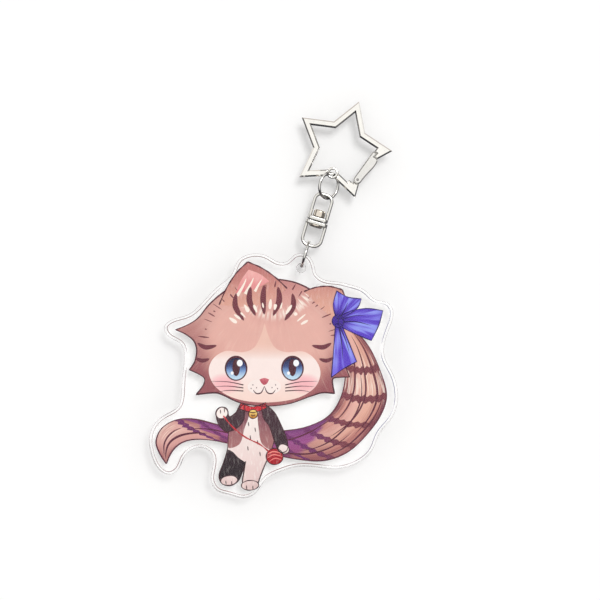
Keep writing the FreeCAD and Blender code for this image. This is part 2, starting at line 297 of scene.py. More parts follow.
def tail_material():
    """Tail fur along the ribbon: tan with plum edges, purple where its underside shows, glossy patches."""
    t = new_tree("print_tail")
    u, v = t.split(t.out("UVMap", uv_map="UVMap"))[:2]
    strands = t.streaks(u, 7.0, v, 9.0, 1.0, 3.0, 0.6)
    fine = t.streaks(u, 12.0, v, 46.0, 1.0, 2.0)
    wave = t.times(t.minus(strands, 0.5), 0.5)
    across = t.plus(v, wave)
    base = t.ramp(across, [(0.0, PLUM), (0.14, CLAY), (0.36, TAN), (0.62, rgb(232, 176, 156)), (0.85, CLAY),
                           (1.0, PLUM)])
    base = t.mix(t.times(t.step(fine, 0.52, 0.8), 0.3), base, CREAM)
    patch = t.times(t.near(u, 0.17, 0.03, 0.10), t.step(fine, 0.46, 0.62))
    base = t.mix(t.times(patch, 0.75), base, rgb(255, 238, 224))
    base = t.mix(t.times(t.step(u, 0.30, 0.52), 0.55), base, rgb(150, 84, 92))
    start = t.plus(t.plus(0.30, t.times(v, 0.30)), t.times(wave, 0.12))
    jag = t.size_of(t.minus(t.calc("FRACT", t.times(v, 2.2)), 0.5))
    end = t.plus(0.765, t.times(jag, 0.06))
    purple = t.times(t.step(t.minus(u, start), 0.0, 0.03), t.rest_of(t.step(t.minus(u, end), 0.0, 0.012)))
    under = t.ramp(across, [(0.0, rgb(122, 62, 120)), (0.4, MAGENTA), (0.7, rgb(150, 74, 122)),
                            (1.0, rgb(96, 44, 72))])
    under = t.mix(t.times(t.step(fine, 0.5, 0.8), 0.2), under, rgb(190, 120, 176))
    base = t.mix(purple, base, under)
    far_end = t.times(t.step(u, 0.79, 0.83), t.rest_of(t.step(u, 0.92, 0.98)))
    base = t.mix(t.times(far_end, 0.75), base, rgb(232, 174, 166))
    tip = t.times(t.step(u, 0.82, 0.86), t.rest_of(t.step(u, 0.89, 0.94)))
    tip = t.times(tip, t.rest_of(t.step(v, 0.3, 0.6)))
    base = t.mix(t.times(t.times(tip, t.step(fine, 0.42, 0.6)), 0.8), base, CREAM)
    return t.ink(base)


def face_material():
    """The pale mask: cream with a rosy upper edge and two blushing cheeks."""
    t = new_tree("print_face")
    x, y = t.art()
    base = t.ramp(t.step(y, -45.0, -24.0), [(0.0, rgb(250, 218, 206)), (0.4, PALE), (0.8, PALE),
                                            (1.0, rgb(240, 196, 180))])
    for centre in (-25.0, 1.0):
        dx = t.over(t.minus(x, centre), 5.6)
        dy = t.over(t.plus(y, 38.0), 3.4)
        far = t.plus(t.times(dx, dx), t.times(dy, dy))
        warm = t.rest_of(t.step(far, 0.0, 1.3))
        base = t.mix(t.times(warm, 0.8), base, BLUSH)
    return t.ink(base)


def shaded_material(name, low, high, low_colour, high_colour, streak=0.0):
    """A part that runs from low_colour to high_colour between two heights, with optional soft streaks."""
    t = new_tree(name)
    x, y = t.art()
    lift = t.times(t.minus(t.noise(t.combine(x, t.times(y, 0.3)), 1.1), 0.5), 3.0)
    base = t.mix(t.step(t.plus(y, lift), low, high), rgb(*low_colour), rgb(*high_colour))
    soft = t.streaks(x, 1.0, y, 0.25, 1.6, 2.0)
    base = t.mix(t.times(t.step(soft, 0.5, 0.7), streak), base, rgb(255, 246, 240))
    return t.ink(base)


def bow_material():
    """Satin ribbon: deep at the knot and the ends, with a pale sheen across the middle of each loop."""
    t = new_tree("print_bow")
    x, y = t.art()
    dx = t.minus(x, 12.0)
    dy = t.plus(y, 17.0)
    reach = t.length(dx, dy)
    angle = t.calc("ARCTAN2", dy, dx)
    folds = t.streaks(angle, 3.4, reach, 0.04, 1.5, 2.0)
    base = t.mix(t.step(reach, 1.0, 7.0), INDIGO, VIOLET)
    base = t.mix(t.times(t.step(folds, 0.42, 0.56), t.step(reach, 2.0, 6.0)), base, rgb(122, 108, 226))
    sheen = t.times(t.near(reach, 10.0, 2.0, 7.5), t.step(folds, 0.48, 0.64))
    return t.ink(t.mix(sheen, base, PERIWINKLE))


def eye_material():
    """A cat's iris: dark above and pale blue below, with fine rays."""
    t = new_tree("print_eye")
    x, y = t.art()
    rays = t.streaks(x, 4.0, y, 0.6, 1.2, 2.0)
    height = t.plus(t.step(y, -36.6, -29.4), t.times(t.minus(rays, 0.5), 0.3))
    base = t.ramp(height, [(0.0, rgb(196, 222, 240)), (0.35, rgb(122, 156, 206)), (0.65, rgb(64, 78, 128)),
                           (1.0, rgb(38, 36, 68))])
    return t.ink(base)


def tail_ring_material():
    """The tail's dark rings: plum on the right, purple where the tail runs to the left."""
    t = new_tree("print_tail_ring")
    x, y = t.art()
    grain = t.streaks(x, 1.2, y, 1.2, 1.4, 3.0)
    base = t.mix(t.step(x, 16.0, 0.0), rgb(126, 64, 74), rgb(112, 48, 104))
    base = t.mix(t.times(t.step(grain, 0.5, 0.75), 0.3), base, rgb(196, 120, 120))
    return t.ink(base)


# ---- curves in the print's own plane, in mm right of and above the hole
def smooth(points, steps=8, closed=False):
    """A smooth curve through the points."""
    count = len(points)
    spans = count if closed else count - 1
    path = []
    for k in range(spans):
        if closed:
            p = [points[(k + j - 1) % count] for j in range(4)]
        else:
            p = [points[max(0, min(count - 1, k + j - 1))] for j in range(4)]
        for i in range(steps):
            s = i / steps
            weights = (-0.5 * s ** 3 + s ** 2 - 0.5 * s, 1.5 * s ** 3 - 2.5 * s ** 2 + 1,
                       -1.5 * s ** 3 + 2 * s ** 2 + 0.5 * s, 0.5 * s ** 3 - 0.5 * s ** 2)
            path.append(tuple(sum(w * q[axis] for w, q in zip(weights, p)) for axis in (0, 1)))
    if not closed:
        path.append(tuple(points[-1]))
    return path


def outline(*runs):
    """A closed outline from smooth runs that meet at corners. Each run starts where the last one ended."""
    path = []
    for run in runs:
        path += smooth(run)[:-1]
    return path


def oval(x, y, a, b, turn=0.0, count=40):
    """An ellipse about x, y with half widths a and b, turned counter-clockwise."""
    path = []
    for k in range(count):
        s = 2 * math.pi * k / count
        px, py = a * math.cos(s), b * math.sin(s)
        path.append((x + px * math.cos(turn) - py * math.sin(turn),
                     y + px * math.sin(turn) + py * math.cos(turn)))
    return path


def part_way(a, b, s):
    """The point a share s of the way from a to b."""
    return (a[0] + (b[0] - a[0]) * s, a[1] + (b[1] - a[1]) * s)


def resample(path, count):
    """count points spread evenly along an open path."""
    lengths = [0.0]
    for a, b in zip(path, path[1:]):
        lengths.append(lengths[-1] + math.dist(a, b))
    result = []
    k = 0
    for i in range(count):
        target = lengths[-1] * i / (count - 1)
        while k < len(path) - 2 and lengths[k + 1] < target:
            k += 1
        span = lengths[k + 1] - lengths[k] or 1.0
        result.append(part_way(path[k], path[k + 1], (target - lengths[k]) / span))
    return result


# ---- printed layers as thin closed solids
def level_depths(level, order=0):
    """Front and back of a printed shape. Level 0 is the deepest, and white is the backing.
    Shapes of one level lie a hair apart, in their order, so that no two faces coincide."""
    if level == "white":
        return white_low.y + (WHITE_INSET + TINY * order) * MM, white_high.y - TINY * (order + 1) * MM
    step = (ink_high.y - ink_low.y) / (LEVELS + 1)
    place = order % ORDERS
    return ink_high.y - (level + 1 + ORDER_STEP * place) * step, ink_high.y - TINY / 2 * place * MM


def point(place, depth):
    """A place of the print, in mm, as a point of the scene at the depth given in metres."""
    spot = HOLE + RIGHT * place[0] * MM + UP * place[1] * MM
    spot.y = depth
    return spot


def is_counter_clockwise(loop):
    """Whether a closed outline runs counter-clockwise, from the sign of its area."""
    return sum(a[0] * b[1] - b[0] * a[1] for a, b in zip(loop, loop[1:] + loop[:1])) > 0


def add_slab(bm, loop, depths):
    """A flat shape with a closed outline."""
    if not is_counter_clockwise(loop):
        loop = loop[::-1]
    near, far = depths
    front = [bm.verts.new(point(p, near)) for p in loop]
    back = [bm.verts.new(point(p, far)) for p in loop]
    for a, b, c in tessellate_polygon([[Vector((x, y, 0)) for x, y in loop]]):
        bm.faces.new((front[a], front[b], front[c]))
        bm.faces.new((back[c], back[b], back[a]))
    count = len(loop)
    for k in range(count):
        bm.faces.new((front[k], back[k], back[(k + 1) % count], front[(k + 1) % count]))


def add_band(bm, left, right, depths, closed=False):
    """A strip between two rows of points."""
    near, far = depths
    rows = []
    for a, b in zip(left, right):
        rows.append([bm.verts.new(point(a, near)), bm.verts.new(point(b, near)),
                     bm.verts.new(point(b, far)), bm.verts.new(point(a, far))])
    pairs = list(zip(rows, rows[1:]))
    if closed:
        pairs.append((rows[-1], rows[0]))
    for first, second in pairs:
        for k in range(4):
            bm.faces.new((first[k], first[(k + 1) % 4], second[(k + 1) % 4], second[k]))
    if not closed:
        bm.faces.new(rows[0][::-1])
        bm.faces.new(rows[-1])


def sides(path, widths, closed):
    """The two edges of a line of changing width."""
    count = len(path)
    left, right = [], []
    for k in range(count):
        if closed:
            before, after = path[k - 1], path[(k + 1) % count]
        else:
            before, after = path[max(0, k - 1)], path[min(count - 1, k + 1)]
        dx, dy = after[0] - before[0], after[1] - before[1]
        run = math.hypot(dx, dy) or 1.0
        half = widths[k] / 2
        left.append((path[k][0] - dy / run * half, path[k][1] + dx / run * half))
        right.append((path[k][0] + dy / run * half, path[k][1] - dx / run * half))
    return left, right


def build(name, fill, material):
    """A piece that rides on the charm: fill adds its shapes to a mesh."""
    bm = bmesh.new()
    fill(bm)
    bmesh.ops.recalc_face_normals(bm, faces=bm.faces)
    mesh = bpy.data.meshes.new(name)
    bm.to_mesh(mesh)
    bm.free()
    mesh.materials.append(material)
    piece = bpy.data.objects.new(name, mesh)
    bpy.context.scene.collection.objects.link(piece)
    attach(piece, "charm")
    return piece


def flat(name, level, material, loops):
    """A piece of the print, made of filled outlines on one layer."""
    def fill(bm):
        for order, loop in enumerate(loops):
            add_slab(bm, loop, level_depths(level, order))
    return build("print_" + name, fill, material)


def drawn_lines(name, level, material, lines):
    """Lines given as (path, width, kind): even and closed, or tapered to one or both ends."""
    def fill(bm):
        for order, (path, width, kind) in enumerate(lines):
            count = len(path)
            widths = []
            for k in range(count):
                s = k / (count - 1)
                if kind in ("closed", "even"):
                    widths.append(width * (1 + 0.25 * math.sin(9.0 * s * math.pi)))
                elif kind == "tip":
                    widths.append(width * (1 - s) ** 0.8 + 0.03)
                else:
                    widths.append(width * math.sin(math.pi * s) ** 0.7 + 0.03)
            left, right = sides(path, widths, kind == "closed")
            add_band(bm, left, right, level_depths(level, order), kind == "closed")
    return build("print_" + name, fill, material)


# ---- the print's plain inks
# For each: the heights between which it changes, its sRGB colours there, and how strong its streaks are.
INKS = {
    "cream": (-73.0, -44.0, (236, 206, 202), (252, 240, 234), 0.4),
    "dark_fur": (-72.0, -44.0, (36, 24, 32), (72, 46, 56), 0.10),
    "coat": (-60.0, -44.0, (170, 112, 112), (122, 68, 84), 0.15),
    "red": (-64.5, -44.0, (170, 22, 38), (206, 40, 52), 0.12),
    "wind": (-64.5, -60.0, (232, 106, 106), (246, 150, 140)),
    "gold": (-49.4, -46.6, (186, 120, 40), (250, 214, 120)),
    "ear": (-9.0, 0.0, (226, 128, 132), (246, 182, 176), 0.1),
    "ear_fur": (-14.0, 1.0, (226, 168, 150), (196, 122, 118), 0.12),
    "nose": (-38.0, -35.0, (188, 84, 98), (224, 126, 136)),
    "glint": (-40.0, -20.0, (250, 250, 252), (255, 255, 255)),
    "bow_line": (-36.0, -8.0, (34, 16, 84), (44, 24, 104)),
    "white": (-75.0, 0.0, (240, 238, 236), (248, 246, 244)),
    "line": (-70.0, 0.0, (64, 30, 40), (92, 44, 56)),
    "strand": (-66.0, -15.0, (92, 38, 58), (118, 58, 68)),
    "pale_fur": (-42.0, -4.0, (252, 236, 230), (255, 240, 226)),
}
ink = {name: shaded_material("print_" + name, *values) for name, values in INKS.items()}


# ---- the print: a long tailed kitten with a bow
tail_inner = smooth([(12, -19), (14.2, -27), (14.6, -35.5), (13, -43), (9, -48.8), (2, -52.2),
                     (-6, -53.6), (-14, -53.8), (-21, -53), (-28, -51.4), (-35, -49.7),
                     (-41, -49.9), (-45.8, -52.6), (-47.8, -57), (-46.6, -61), (-44.4, -64.4)])
tail_outer = smooth([(17, -19.5), (22.4, -26), (26.2, -34), (28.2, -41.5), (26.4, -48), (21.8, -54.6),
                     (15.6, -60.4), (7.6, -63.3), (-2, -62.8), (-11, -60.8), (-20, -58.6),
                     (-29, -56.7), (-35.4, -56.4), (-39.6, -57.6), (-42.6, -60.4), (-44.4, -64.4)])
TAIL_ROWS = 150
TAIL_COLUMNS = 14
STRAND_POINTS = 26
RING_POINTS = 33
EDGE_POINTS = 41
tail_inner = resample(tail_inner, TAIL_ROWS)
tail_outer = resample(tail_outer, TAIL_ROWS)


def on_tail(u, v):
    """A point of the tail: u along it, v from its inner edge to its outer edge."""
    k = min(max(u, 0.0), 1.0) * (TAIL_ROWS - 1)
    i = min(int(k), TAIL_ROWS - 2)
    inner = part_way(tail_inner[i], tail_inner[i + 1], k - i)
    outer = part_way(tail_outer[i], tail_outer[i + 1], k - i)
    return part_way(inner, outer, v)


def tail_piece():
    """The tail as a ribbon whose texture coordinates run along it and across it."""
    def fill(bm):
        layer = bm.loops.layers.uv.new("UVMap")
        rows = TAIL_ROWS - 1
        last = rows - 1
        grids = []
        for depth in level_depths(0):
            grids.append([[bm.verts.new(point(on_tail(i / rows, j / TAIL_COLUMNS), depth))
                           for j in range(TAIL_COLUMNS + 1)] for i in range(rows)])
        for grid in grids:
            for i in range(last):
                for j in range(TAIL_COLUMNS):
                    corners = ((i, j), (i, j + 1), (i + 1, j + 1), (i + 1, j))
                    face = bm.faces.new([grid[a][b] for a, b in corners])
                    for loop, (a, b) in zip(face.loops, corners):
                        loop[layer].uv = (a / rows, b / TAIL_COLUMNS)
        front, back = grids
        for j in range(TAIL_COLUMNS):
            bm.faces.new((front[0][j], back[0][j], back[0][j + 1], front[0][j + 1]))
            bm.faces.new((front[last][j], front[last][j + 1], back[last][j + 1], back[last][j]))
        for i in range(last):
            for j in (0, TAIL_COLUMNS):
                face = bm.faces.new((front[i][j], front[i + 1][j], back[i + 1][j], back[i][j]))
                for loop in face.loops:
                    loop[layer].uv = (i / rows, j / TAIL_COLUMNS)
    return build("print_tail", fill, tail_material())


def tail_strand(u0, v0, u1, v1, width):
    """A tapered strand that drifts from v0 to v1 across the tail while it runs along it."""
    path = []
    for k in range(STRAND_POINTS):
        s = k / (STRAND_POINTS - 1)
        path.append(on_tail(u0 + (u1 - u0) * s, v0 + (v1 - v0) * (s * s * (3 - 2 * s))))
    return (path, width, "both")


head = outline(
    [(-11, -3.2), (-2, -4.6), (5.5, -8.6), (11, -14.6), (13.6, -22), (13.8, -29), (16, -35.8)],
    [(16, -35.8), (12.8, -35.9), (10.4, -36.6), (11, -41.2)],
    [(11, -41.2), (7, -41), (3, -42.2), (-4, -44.6), (-12, -45.4), (-20, -44.3), (-26, -41.6),
     (-29, -41), (-34.6, -41.6)],
    [(-34.6, -41.6), (-32.4, -38.8), (-31.8, -36.4), (-33.6, -34.9), (-36.8, -33.4)],
    [(-36.8, -33.4), (-35, -30.6), (-34.4, -26.8), (-35.4, -23.8), (-38.2, -21.6), (-41.4, -20.2)],
    [(-41.4, -20.2), (-37.4, -18.6), (-33.8, -16.2), (-30, -11.6), (-24.6, -7.2), (-18, -4.2),
     (-11, -3.2)],
)
LEFT_EAR_SIDES = ([(-27, -12), (-24.6, -6.6), (-21.4, -1.6), (-17.6, 2.2)],
                  [(-17.6, 2.2), (-13, 0.2), (-8.6, -2.8), (-4.6, -6.6)])
left_ear = outline(*LEFT_EAR_SIDES, [(-4.6, -6.6), (-10, -10.6), (-18, -12.6), (-27, -12)])
left_ear_inside = outline(
    [(-21.6, -8.4), (-19.8, -4), (-17.3, -0.4)],
    [(-17.3, -0.4), (-13.6, -1.8), (-10.4, -4.2)],
    [(-10.4, -4.2), (-15, -6.6), (-21.6, -8.4)],
)
RIGHT_EAR_SIDES = ([(1, -7.6), (5, -6.2), (9.4, -5.9), (13.6, -7)],
                   [(13.6, -7), (15, -11), (15, -15), (13.6, -19.4)])
right_ear = outline(*RIGHT_EAR_SIDES, [(13.6, -19.4), (8, -14.4), (1, -7.6)])
face = outline(
    [(-12, -18), (-10.6, -22.4), (-8.4, -26.2), (-4.6, -27.6), (0.8, -27.4), (4.8, -30.2), (6.4, -34.6),
     (4.4, -39.4), (-1.8, -42.9), (-12, -44.2), (-21.6, -42.9), (-28, -39.2), (-30.4, -34.2),
     (-29, -29.8), (-24.8, -27.2), (-19.4, -27.6), (-15.6, -26.2), (-13.4, -22.4), (-12, -18)],
)
BODY_SIDES = (
    [(-15.6, -42.4), (-19.2, -43.8), (-21.8, -48.6), (-23.8, -54), (-24.2, -59.2), (-25.6, -64),
     (-27, -68.2), (-26, -70.9), (-23.2, -71.6), (-20.6, -70), (-19.2, -66.8), (-18.3, -63.6)],
    [(-18.3, -63.6), (-18.9, -67.4), (-19.3, -70.4), (-18.4, -72.2), (-16.6, -72.6), (-14.6, -71.6),
     (-13.4, -68.6), (-12, -65), (-10.2, -61), (-8.8, -56), (-9.4, -50.6), (-11.2, -45.6),
     (-12.4, -43.2), (-15.6, -42.4)],
)
body = outline(*BODY_SIDES)
left_flank = smooth([(-18.6, -44), (-21.6, -48.4), (-23.6, -54), (-24.1, -59), (-20.2, -57.8),
                     (-18.6, -52.6), (-17.2, -48.2)], closed=True)
right_flank = smooth([(-12.6, -43.6), (-11, -46.6), (-9.4, -51), (-9, -56), (-9.8, -59.6),
                      (-13, -57.6), (-14, -52.4), (-14.2, -48.2)], closed=True)
left_leg = outline(
    [(-24.4, -59.6), (-25.5, -63.8), (-26.9, -68.2), (-25.9, -70.8), (-23.2, -71.5), (-20.6, -70),
     (-18.4, -63.9)],
    [(-18.4, -63.9), (-20.6, -62.4), (-22.6, -60.4), (-24.4, -59.6)],
)
left_arm = smooth([(-18.8, -44.8), (-21.4, -47.4), (-23.6, -48.8), (-24.4, -46.6), (-26.4, -45.8),
                   (-28, -47.6), (-27.2, -51.4), (-24.6, -53.8), (-21, -52.6), (-18.8, -49.6)],
                  closed=True)
right_arm = smooth([(-12.6, -44.8), (-8.8, -47.4), (-6.2, -52.4), (-4.4, -57.4), (-4.8, -60.2), (-7.2, -60.4),
                    (-8.6, -57.4), (-10.4, -52.2), (-12.4, -49.2)], closed=True)
left_paw = oval(-26.1, -47.6, 2.1, 1.9, 0.5)
right_paw = oval(-5.7, -59.5, 1.9, 1.5, -0.5)
left_foot = oval(-23.7, -69.9, 2.8, 1.6, 0.12)
right_foot = oval(-16.8, -71.5, 2.9, 1.6, 0.05)
collar = outline(
    [(-19.9, -44.3), (-15.8, -45.6), (-11.6, -44.2)],
    [(-11.6, -44.2), (-11.3, -46)],
    [(-11.3, -46), (-15.8, -47.5), (-20.4, -46.2)],
    [(-20.4, -46.2), (-19.9, -44.3)],
)
bell = oval(-15.8, -48.0, 1.5, 1.5)
yarn = oval(-8.7, -62.0, 2.8, 2.7)
bow_top = outline(
    [(11.6, -16.4), (10.6, -12), (11.8, -7.4)],
    [(11.8, -7.4), (15.4, -9.4), (19.9, -10)],
    [(19.9, -10), (18.4, -13.2), (13.4, -16.4), (11.6, -16.4)],
)
bow_side = outline(
    [(12.4, -16), (16.6, -14), (21.8, -13.2), (27, -13.9)],
    [(27, -13.9), (25.6, -18.8), (23.2, -23.8)],
    [(23.2, -23.8), (18.4, -21.8), (12.2, -18.8)],
    [(12.2, -18.8), (12.4, -16)],
)
bow_tail = outline(
    [(11.4, -18.2), (10.8, -26), (10, -36)],
    [(10, -36), (13.8, -33.2), (18.4, -30.7)],
    [(18.4, -30.7), (15.8, -24.4), (13.4, -18.4)],
    [(13.4, -18.4), (11.4, -18.2)],
)
bow_knot = oval(12.2, -17.4, 1.9, 2.1, 0.3)
EYES = ((-21.4, -32.9), (-2.8, -32.9))
FACE_MIDDLE = -12.1
HEAD_CENTRE = (-10.6, -24.4)
HEAD_HALF = (24.1, 21.2)


def stroke(points, width, kind="both"):
    """A smooth pen stroke that tapers at both ends, or only at its last point."""
    return (smooth(points, 7), width, kind)


def mirrored(points):
    """The same points on the other side of the face."""
    return [(2 * FACE_MIDDLE - x, y) for x, y in points]


def tabby_marks():
    """The dark stripes on the forehead and on both cheeks."""
    marks = [stroke([(-12.1, -5.4), (-12.5, -10), (-12.1, -15.2)], 1.9)]
    for points, width in (([(-16.6, -6), (-17, -10.6), (-15, -15.6)], 1.9),
                          ([(-21.4, -8.2), (-21.6, -12.6), (-18.8, -17.2)], 1.8),
                          ([(-34.2, -24.6), (-31.4, -26), (-27.8, -25.4)], 1.5),
                          ([(-35, -29.4), (-32.6, -30.4), (-30.2, -29.8)], 1.3)):
        marks.append(stroke(points, width))
        marks.append(stroke(mirrored(points), width))
    return marks


def fur_ticks(inner, outer, count, width, start=4.0, end=176.0):
    """Short strokes that follow the lie of the fur, in an arc over the top of the head."""
    ticks = []
    for k in range(count):
        angle = math.radians(start + (end - start) * (k + 0.5) / count + 2.0 * math.sin(5.1 * k))
        wander = 0.03 * math.sin(3.7 * k)
        points = []
        for share in (inner + wander, (inner + outer) / 2, outer + 0.04 * math.sin(2.3 * k)):
            bend = angle + 0.10 * (share - inner) * math.sin(1.9 * k)
            points.append((HEAD_CENTRE[0] + HEAD_HALF[0] * share * math.cos(bend),
                           HEAD_CENTRE[1] + HEAD_HALF[1] * share * math.sin(bend)))
        ticks.append(stroke(points, width * (0.8 + 0.3 * math.sin(4.3 * k))))
    return ticks


def ring_band(u, half):
    """One dark ring of the tail, with ragged edges: its two rows of points."""
    rows = ([], [])
    for j in range(RING_POINTS):
        v = j / (RING_POINTS - 1)
        tooth = abs((v * 7.0) % 1.0 - 0.5)
        sweep = 0.012 * math.sin(math.pi * v)
        rows[0].append(on_tail(u - half + 0.016 * tooth + sweep, v))
        rows[1].append(on_tail(u + half - 0.006 + 0.022 * tooth + sweep, v))
    return rows


def tail_pieces():
    """The tail, its dark rings, its strands and its outline."""
    tail = tail_piece()

    def fill(bm):
        for order, u in enumerate((0.135, 0.225, 0.315, 0.40, 0.475, 0.545, 0.68, 0.745, 0.81)):
            add_band(bm, *ring_band(u, 0.013), level_depths(1, order))
    build("print_tail_rings", fill, tail_ring_material())
    spans = ((0.02, 0.30, 0.34, 0.22, 0.6), (0.03, 0.55, 0.40, 0.50, 0.55), (0.01, 0.78, 0.36, 0.80, 0.7),
             (0.16, 0.42, 0.52, 0.64, 0.5), (0.20, 0.90, 0.50, 0.88, 0.5), (0.30, 0.10, 0.60, 0.36, 0.45),
             (0.36, 0.72, 0.66, 0.80, 0.5), (0.62, 0.34, 0.84, 0.42, 0.4), (0.80, 0.62, 0.985, 0.50, 0.7),
             (0.84, 0.30, 0.97, 0.35, 0.5))
    strands = [tail_strand(*span) for span in spans]
    edges = []
    for side in (0, 1):
        along = [on_tail(k / (EDGE_POINTS - 1), side) for k in range(EDGE_POINTS)]
        edges.append((smooth(along, 3), 0.4, "even"))
    drawn_lines("tail_lines", 2, ink["strand"], strands + edges)
    return tail


def body_pieces():
    """The standing kitten's body, with dark and cream patches, a red collar and a ball of yarn."""
    flat("body", 3, ink["cream"], [body])
    flat("flanks", 4, ink["coat"], [left_flank, right_flank])
    flat("dark_leg", 4, ink["dark_fur"], [left_leg])
    flat("feet", 6.5, ink["cream"], [left_foot, right_foot])
    flat("arms", 7, ink["dark_fur"], [left_arm, right_arm])
    flat("paws", 8, ink["cream"], [left_paw, right_paw])
    flat("yarn", 8, ink["red"], [yarn, collar])
    flat("bell", 9, ink["gold"], [bell])
    belly = [stroke([(x, y), (x + 0.2, y - 1.5)], 0.3) for x, y in
             ((-17.4, -50.6), (-15.2, -52.4), (-16.8, -55), (-14.4, -56.6), (-17.6, -58.6), (-13.6, -60.4))]
    drawn_lines("body_lines", 6, ink["line"], [(body, 0.34, "closed")] + belly)
    toes = [stroke([(x, y), (x + 0.1, y - 1.4)], 0.28) for x, y in
            ((-24.8, -69.9), (-22.9, -70.1), (-18, -71.5), (-15.9, -71.6), (-26.6, -46.5), (-25.3, -46.1))]
    shapes = (left_arm, right_arm, left_paw, right_paw, left_foot, right_foot, yarn, collar, bell)
    loops = [(shape, 0.28, "closed") for shape in shapes]
    slot = stroke([(-16.6, -48.2), (-15.8, -48.6), (-15, -48.2)], 0.3)
    drawn_lines("limb_lines", 10, ink["line"], loops + toes + [slot])
    winds = [stroke(points, 0.36) for points in
             ([(-11, -61.2), (-9.2, -60.4), (-6.8, -60.8)], [(-11.2, -62.6), (-9, -61.4), (-6.2, -62)],
              [(-10.6, -63.8), (-8.6, -62.6), (-6.2, -63.2)])]
    drawn_lines("winds", 11, ink["wind"], winds)
    thread = [(-10.6, -60.4), (-13.6, -58), (-18.4, -55.6), (-22.6, -52.2), (-25.6, -48.6)]
    drawn_lines("thread", 12, ink["red"], [(smooth(thread, 10), 0.42, "even")])


def head_pieces():
    """The head: its outline, fur, gloss and dark stripes."""
    flat("head", 8, fur_material(), [head])
    drawn_lines("head_line", 9, ink["line"], [(head, 0.42, "closed")])
    drawn_lines("tabby_marks", 14, ink["strand"], tabby_marks())
    drawn_lines("fur_ticks", 9.7, ink["strand"], fur_ticks(0.85, 0.94, 26, 0.42))
    drawn_lines("fur_gloss", 15, ink["pale_fur"], fur_ticks(0.52, 0.64, 13, 1.1, 28.0, 152.0))


def ear_pieces():
    """Both ears. The left one shows its rosy inside, with pale tufts."""
    flat("ears", 10, ink["ear_fur"], [left_ear, right_ear])
    flat("ear_inside", 11, ink["ear"], [left_ear_inside])
    tufts = [stroke([(-21, -9), (-19, -5.6), (-18, -3.2)], 1.1, "tip"),
             stroke([(-18.4, -8.4), (-16.6, -5.2), (-15.6, -3)], 1.1, "tip"),
             stroke([(-15.2, -7.6), (-13.8, -5), (-12.9, -3.6)], 0.9, "tip")]
    drawn_lines("ear_tufts", 12, ink["pale_fur"], tufts)
    edges = [(smooth(side), 0.42, "even") for side in LEFT_EAR_SIDES + RIGHT_EAR_SIDES]
    drawn_lines("ear_lines", 13, ink["line"], edges)


def face_pieces():
    """The pale mask, the muzzle, the eyes and the nose."""
    flat("face", 10, face_material(), [face])
    muzzle = [oval(x, -38.9, 3.1, 2.3, turn) for x, turn in ((-14.5, 0.1), (-9.7, -0.1))]
    flat("muzzle", 11, ink["pale_fur"], muzzle)
    flat("eye_rims", 11, ink["line"], [oval(x, y, 3.75, 4.15) for x, y in EYES])
    flat("eyes", 12, eye_material(), [oval(x, y - 0.15, 3.25, 3.6) for x, y in EYES])
    flat("pupils", 13, ink["line"], [oval(x, y + 0.2, 1.25, 2.8) for x, y in EYES])
    nose = outline([(-13.7, -36.6), (-12.1, -36.1), (-10.5, -36.6)],
                   [(-10.5, -36.6), (-11.2, -37.9), (-12.1, -38.4), (-13, -37.9), (-13.7, -36.6)])
    flat("nose", 12, ink["nose"], [nose])
    glints = []
    for x, y in EYES:
        glints += [oval(x + 1.2, y + 1.7, 0.95, 1.1), oval(x - 1.3, y - 1.6, 0.5, 0.55)]
    flat("glints", 14, ink["glint"], glints)


def whisker_piece():
    """Three whiskers on each side, the dots at their roots and the mouth."""
    whiskers = []
    for k in range(3):
        points = [(-19.0, -38.4 - 1.0 * k), (-24.0, -37.4 - 1.4 * k), (-29.8 + 1.1 * k, -37.2 - 1.8 * k)]
        whiskers.append(stroke(points, 0.34, "tip"))
        whiskers.append(stroke(mirrored(points), 0.34, "tip"))
    dots = []
    for x, y in ((-16, -38.4), (-14.8, -39.3), (-16.6, -39.6)):
        dots += [stroke([(x, y), (x + 0.3, y)], 0.4), stroke(mirrored([(x, y), (x + 0.3, y)]), 0.4)]
    lip = [(-15.8, -40), (-14.7, -41.2), (-13.1, -40.9), (-12.1, -38.8)]
    mouth = [stroke(lip, 0.38), stroke(mirrored(lip), 0.38)]
    drawn_lines("face_lines", 16, ink["line"], whiskers + dots + mouth)


def bow_pieces():
    """A satin bow beside the right ear."""
    bow = bow_material()
    flat("bow", 14, bow, [bow_tail, bow_top, bow_side])
    flat("bow_knot", 15, bow, [bow_knot])
    folds = [stroke([(12.8, -16), (14.4, -13.6), (15.4, -11.2)], 0.5, "tip"),
             stroke([(13.8, -17.6), (18.4, -17.6), (23, -18.8)], 0.55, "tip"),
             stroke([(13.4, -16.8), (17.6, -15.6), (21.4, -15.6)], 0.35, "tip"),
             stroke([(12.6, -19.4), (13.4, -24.6), (13.8, -30)], 0.5, "tip"),
             stroke([(13, -19.6), (14.8, -24), (16, -28)], 0.35, "tip")]
    loops = [(shape, 0.3, "closed") for shape in (bow_top, bow_side, bow_tail, bow_knot)]
    drawn_lines("bow_lines", 16, ink["bow_line"], loops + folds)


def backing_piece():
    """The white layer behind the colours, with the same silhouette."""
    shapes = [head, left_ear, right_ear, bow_top, bow_side, bow_tail, body, left_arm, right_arm, left_paw,
              right_paw, yarn]

    def fill(bm):
        add_band(bm, tail_inner, tail_outer, level_depths("white", 0))
        for order, loop in enumerate(shapes):
            add_slab(bm, loop, level_depths("white", order + 1))
    return build("white_backing", fill, ink["white"])


def print_pieces():
    """The whole print. Its tail stands in for the plain colour ink, and its backing for the white ink."""
    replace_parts(tail_pieces(), "colour_ink")
    body_pieces()
    head_pieces()
    ear_pieces()
    face_pieces()
    whisker_piece()
    bow_pieces()
    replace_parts(backing_piece(), "white_ink")


